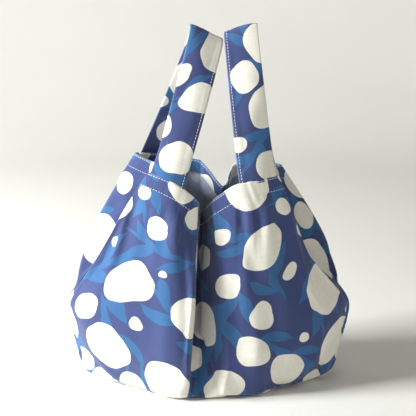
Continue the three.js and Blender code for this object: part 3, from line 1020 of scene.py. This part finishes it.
def cell_group():
    """Splits the cloth into square cells, each with a place inside it and a chance of its own."""
    inputs = {"Position": None, "Cell": 0.06, "Offset": None, "Jitter": 0.2, "Seed": 0.0}
    outputs = {"Local": VECTOR, "Chance": FLOAT}
    tree, given, made = new_group("print_cells", inputs, outputs)
    counted = scaled(tree, given["Position"], calc(tree, "DIVIDE", 1.0, given["Cell"]))
    shifted = vector(tree, "ADD", counted, given["Offset"])
    number = vector(tree, "FLOOR", shifted)
    settings = {"Vector": vector(tree, "MULTIPLY", number, LEVEL), "W": given["Seed"]}
    chance = put(tree, "ShaderNodeTexWhiteNoise", settings, noise_dimensions="4D").outputs
    middle = vector(tree, "SUBTRACT", chance["Color"], HALF)
    inside = vector(tree, "SUBTRACT", vector(tree, "SUBTRACT", shifted, number), HALF)
    moved = vector(tree, "SUBTRACT", inside, scaled(tree, middle, given["Jitter"]))
    local = scaled(tree, vector(tree, "MULTIPLY", moved, LEVEL), given["Cell"])
    fill(tree, made, {"Local": local, "Chance": chance["Value"]})
    return tree


def spots(tree, cells, position, cell, offset, radii, jitter, seed):
    """Mask of one round spot in each cell, with a radius between the two that are given."""
    spot = call(tree, cells, Position=position, Cell=cell, Offset=offset, Jitter=jitter, Seed=seed)
    radius = between_values(tree, spot["Chance"], *radii)
    length = put(tree, "ShaderNodeVectorMath", {0: spot["Local"]}, operation="LENGTH")
    inside = calc(tree, "SUBTRACT", radius, length.outputs["Value"])
    return between(tree, inside, -PRINT_EDGE, PRINT_EDGE)


def print_group(cells, leaf):
    """The printed design: masks of its pale spots and of its blue leaf sprigs."""
    inputs = {"Position": None, "Cell": PRINT_CELL}
    outputs = {"Spots": FLOAT, "Leaves": FLOAT}
    tree, given, made = new_group("spot_and_sprig_print", inputs, outputs)
    position = given["Position"]
    for scale, reach in PRINT_WAVES:
        wave = noise_at(tree, given["Position"], scale, 0.0)["Color"]
        shift = vector(tree, "MULTIPLY", vector(tree, "SUBTRACT", wave, HALF), (reach, reach, 0.0))
        position = vector(tree, "ADD", position, shift)
    cell = given["Cell"]
    big = spots(tree, cells, position, cell, (0.0, 0.0, 0.0), BIG_SPOTS, 0.16, 3.0)
    small = spots(tree, cells, position, cell, (0.5, 0.5, 0.0), SMALL_SPOTS, 0.2, 8.0)
    leaves = None
    wide = calc(tree, "MULTIPLY", cell, 1.5)
    for offset, seed in (((0.4, 0.0, 0.0), 5.0), ((0.9, 0.5, 0.0), 12.0)):
        where = {"Position": position, "Cell": wide, "Offset": offset}
        sprig = call(tree, cells, Jitter=0.08, Seed=seed, **where)
        turn = calc(tree, "MULTIPLY", sprig["Chance"], 2 * math.pi)
        local = rotated(tree, sprig["Local"], turn)
        for place, angle, length, width in SPRIG_LEAVES:
            shape = {"Place": place, "Angle": -angle, "Length": length, "Width": width}
            mask = call(tree, leaf, Position=local, **shape)["Mask"]
            leaves = mask if leaves is None else calc(tree, "MAXIMUM", leaves, mask)
    fill(tree, made, {"Spots": calc(tree, "MAXIMUM", big, small), "Leaves": leaves})
    return tree


def weave_group():
    """Plain weave: height of the crossing threads, and their uneven shade along warp and weft."""
    inputs = {"Position": None, "Thread": WEAVE_THREAD}
    tree, given, made = new_group("plain_weave", inputs, {"Height": FLOAT, "Shade": FLOAT})
    parts = put(tree, "ShaderNodeSeparateXYZ", {0: given["Position"]})
    rate = calc(tree, "DIVIDE", math.pi, given["Thread"])
    waves = [calc(tree, "SINE", calc(tree, "MULTIPLY", parts.outputs[k], rate)) for k in (0, 1)]
    crossing = calc(tree, "MULTIPLY", waves[0], waves[1])
    ridges = calc(tree, "ADD", calc(tree, "ABSOLUTE", waves[0]), calc(tree, "ABSOLUTE", waves[1]))
    height = calc(tree, "MULTIPLY_ADD", crossing, 0.5, calc(tree, "MULTIPLY", ridges, 0.25))
    slubs = []
    for stretch in ((2200.0, 60.0, 1.0), (60.0, 2200.0, 1.0)):
        stretched = vector(tree, "MULTIPLY", given["Position"], stretch)
        slubs.append(noise_at(tree, stretched, 1.0, 1.0)[0])
    shade = calc(tree, "MULTIPLY", calc(tree, "ADD", *slubs), 0.5)
    fill(tree, made, {"Height": height, "Shade": shade})
    return tree


cells = cell_group()
leaf = leaf_group()
printed = print_group(cells, leaf)
weave = weave_group()

NAVY = colour(63, 75, 122)
NAVY_DEEP = colour(53, 63, 108)
LEAF_BLUE = colour(51, 95, 143)
SPOT_WHITE = colour(226, 223, 212)
REVERSE = colour(176, 186, 204)
REVERSE_SHARE = 0.84
WORN = colour(200, 205, 222)
THREAD_SHADE = colour(206, 208, 214)
THREAD_WHITE = colour(244, 244, 242)
FLOOR_SHADE = colour(234, 232, 226)
FLOOR_WHITE = colour(240, 238, 233)


def new_material(name):
    material = bpy.data.materials.new(name)
    material.use_nodes = True
    tree = material.node_tree
    return material, tree, tree.nodes["Principled BSDF"]


def cloth_material(name, offset, reverse=False):
    """Printed cotton, or its paler reverse, with its piece of the print cut at offset."""
    material, tree, surface = new_material(name)
    uv = put(tree, "ShaderNodeUVMap", uv_map="flat_cloth")
    position = vector(tree, "ADD", uv.outputs[0], offset)
    pattern = call(tree, printed, Position=position, Cell=PRINT_CELL)
    threads = call(tree, weave, Position=position, Thread=WEAVE_THREAD)
    clouds = noise_at(tree, position, 14.0, 3.0)[0]
    shown = mixed(tree, clouds, NAVY_DEEP, NAVY)
    shown = mixed(tree, pattern["Leaves"], shown, LEAF_BLUE)
    shown = mixed(tree, pattern["Spots"], shown, SPOT_WHITE)
    if reverse:
        shown = mixed(tree, REVERSE_SHARE, shown, REVERSE)
    uneven = ranged(tree, threads["Shade"], 0.88, 1.1, 0.3, 0.7)
    shaded = mixed(tree, 1.0, shown, uneven, "MULTIPLY")
    wear = put(tree, "ShaderNodeAttribute", attribute_name="edge_wear").outputs["Fac"]
    worn = calc(tree, "MULTIPLY", wear, calc(tree, "MULTIPLY", threads["Shade"], 0.5))
    fill(tree, surface.inputs, {
        "Base Color": mixed(tree, worn, shaded, WORN),
        "Roughness": ranged(tree, clouds, 0.72, 0.92),
        "Sheen Weight": 0.18,
        "Sheen Roughness": 0.55,
        "Specular IOR Level": 0.22,
    })
    fuzz = noise_at(tree, position, 900.0, 2.0)[0]
    height = calc(tree, "MULTIPLY_ADD", fuzz, 0.35, threads["Height"])
    bump_to(tree, surface, height, 0.35, 0.00012)
    return material


def thread_material():
    material, tree, surface = new_material("white_sewing_thread")
    where = put(tree, "ShaderNodeTexCoord").outputs["Object"]
    twist = noise_at(tree, where, 2600.0, 1.0)[0]
    fill(tree, surface.inputs, {
        "Base Color": mixed(tree, twist, THREAD_SHADE, THREAD_WHITE),
        "Roughness": ranged(tree, twist, 0.45, 0.7),
    })
    bump_to(tree, surface, twist, 0.4, 0.00008)
    return material


def set_wear(piece, values):
    layer = piece.data.attributes.new("edge_wear", "FLOAT", "POINT")
    layer.data.foreach_set("value", values.astype(np.float32).ravel())


def give_cloth(piece, name, offset, thickness):
    piece.data.materials.append(cloth_material(name + "_printed_cotton", offset))
    piece.data.materials.append(cloth_material(name + "_cotton_reverse", offset, reverse=True))
    thicken(piece, thickness)


# Each panel: its first fold line, its side, its seed, and where its cloth is cut from the print
PANELS = (
    ("front_panel", -5, -1, 41, (0.013, 0.021, 0.0)),
    ("back_panel", 5, 1, 52, (0.55, 0.31, 0.0)),
)

# Millimetres from an edge over which its cloth is worn pale, and how much less on the handles
HEM_WEAR, HANDLE_WEAR, HANDLE_WEAR_SHARE = 0.8, 0.5, 0.6

for name, start, side_y, seed, offset in PANELS:
    piece, grid, flat, drops = make_panel(name + "_cloth", start, side_y, seed)
    wear = np.zeros(grid.shape[:2])
    for r, drop in enumerate(drops):
        if drop is not None:
            wear[r] = math.exp(-drop / HEM_WEAR)
    set_wear(piece, wear)
    give_cloth(piece, name, offset, CLOTH)
    stitches = stitch_mesh(name + "_hem_stitches", hem_lines(grid, drops))
    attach(piece, "root")
    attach(stitches, "root")
    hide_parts(name)

# Top of each handle: its outer and its inner edge, as x and drop below the highest place
HANDLE_TOPS = {
    "left": ((-18.5, 1), (15.2, 15.5)),
    "right": ((51, 0), (17, 9)),
}
STITCHED_ROWS = slice(6, -6)

for number, side in enumerate(("left", "right")):
    name = "handle_" + side
    piece, flat, lines = make_handle(
        name + "_cloth", "front_" + side, "back_" + side, HANDLE_TOPS[side], 70 + 10 * number
    )
    across = strap_section()[:, 0]
    wear = np.exp(-np.abs(across) / HANDLE_WEAR)
    wear = wear + np.exp(-np.abs(STRAP_WIDTH - across) / HANDLE_WEAR)
    set_wear(piece, np.broadcast_to(wear[None, :] * HANDLE_WEAR_SHARE, flat.shape[:2]))
    offset = (0.212 + 0.3 * number, 0.133 + 0.21 * number, 0.0)
    give_cloth(piece, name, offset, HANDLE_CLOTH)
    stitches = stitch_mesh(name + "_edge_stitches", [
        (path[STITCHED_ROWS], facing[STITCHED_ROWS]) for path, facing in lines
    ])
    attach(piece, "root")
    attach(stitches, "root")
    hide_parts(name)

thread = thread_material()
for piece in bpy.context.scene.objects:
    if piece.name.endswith("_stitches"):
        piece.data.materials.append(thread)


# Pale floor, in metres, and the number of its sides
FLOOR_RADIUS = 1.5
RIM_RADIUS = 1.0
RIM_TOP = 1.6
FLOOR_SIDES = 96


def pale_bowl():
    """Round floor whose rim curves up all the way round, so every side has the same backdrop."""
    profile = [(0.0, 0.0), (0.6, 0.0), (FLOOR_RADIUS, 0.0)]
    for angle in np.linspace(0, 90, 19)[1:]:
        turn = math.radians(angle)
        out, up = RIM_RADIUS * math.sin(turn), RIM_RADIUS * (1 - math.cos(turn))
        profile.append((FLOOR_RADIUS + out, up))
    profile.append((FLOOR_RADIUS + RIM_RADIUS, RIM_TOP))
    points = [(0.0, 0.0, 0.0)]
    faces = []
    for r, z in profile[1:]:
        for k in range(FLOOR_SIDES):
            turn = 2 * math.pi * k / FLOOR_SIDES
            points.append((r * math.cos(turn), r * math.sin(turn), z))
    for k in range(FLOOR_SIDES):
        following = (k + 1) % FLOOR_SIDES
        faces.append((0, 1 + k, 1 + following))
        for row in range(len(profile) - 2):
            a = 1 + row * FLOOR_SIDES + k
            b = 1 + row * FLOOR_SIDES + following
            faces.append((a, a + FLOOR_SIDES, b + FLOOR_SIDES, b))
    mesh = bpy.data.meshes.new("pale_floor")
    mesh.from_pydata(points, [], faces)
    mesh.shade_smooth()
    floor = add_to_scene("pale_floor", mesh)
    material, tree, surface = new_material("pale_floor_paint")
    where = put(tree, "ShaderNodeTexCoord").outputs["Object"]
    clouds = noise_at(tree, where, 3.0, 2.0)[0]
    tint = mixed(tree, clouds, FLOOR_SHADE, FLOOR_WHITE)
    fill(tree, surface.inputs, {"Base Color": tint, "Roughness": 0.8})
    mesh.materials.append(material)


# Each light: its place and its aim in metres, its width and height, its power and its tint
LIGHTS = {
    "window_left": ((-1.45, -0.32, 0.78), (0.0, 0.0, 0.14), (0.5, 0.7), 62, (0.96, 0.99, 1.0)),
    "fill_front": ((0.7, -2.0, 1.3), (0.0, 0.0, 0.15), (1.2, 1.0), 2.6, (0.95, 0.98, 1.0)),
    "backdrop_wash": ((-1.0, 1.0, 1.5), (-0.8, 2.3, 0.5), (0.8, 0.8), 10, (0.98, 1.0, 1.0)),
}
WORLD_TINT = (1.0, 0.97, 0.92, 1.0)
WORLD_STRENGTH = 0.17
CAMERA_PLACE = (0.0, -0.8803, 0.3743)
CAMERA_AIM = (0.0, 0.0, 0.1872)
CAMERA_LENS = 72.79


def look_at(thing, aim):
    direction = Vector(aim) - thing.location
    thing.rotation_euler = direction.to_track_quat("-Z", "Y").to_euler()


def area_light(name, place, aim, size, power, tint):
    data = bpy.data.lights.new(name, "AREA")
    data.shape = "RECTANGLE"
    data.size, data.size_y = size
    data.energy = power
    data.color = tint
    lamp = add_to_scene(name, data)
    lamp.location = place
    look_at(lamp, aim)


pale_bowl()
for name, light in LIGHTS.items():
    area_light(name, *light)

world = bpy.data.worlds.new("studio")
world.use_nodes = True
world.node_tree.nodes["Background"].inputs[0].default_value = WORLD_TINT
world.node_tree.nodes["Background"].inputs[1].default_value = WORLD_STRENGTH
bpy.context.scene.world = world
bpy.context.scene.view_settings.view_transform = "Standard"

camera_data = bpy.data.cameras.new("camera")
camera_data.lens = CAMERA_LENS
camera_data.sensor_width = 36.0
camera = add_to_scene("camera", camera_data)
camera.location = CAMERA_PLACE
look_at(camera, CAMERA_AIM)
bpy.context.scene.camera = camera
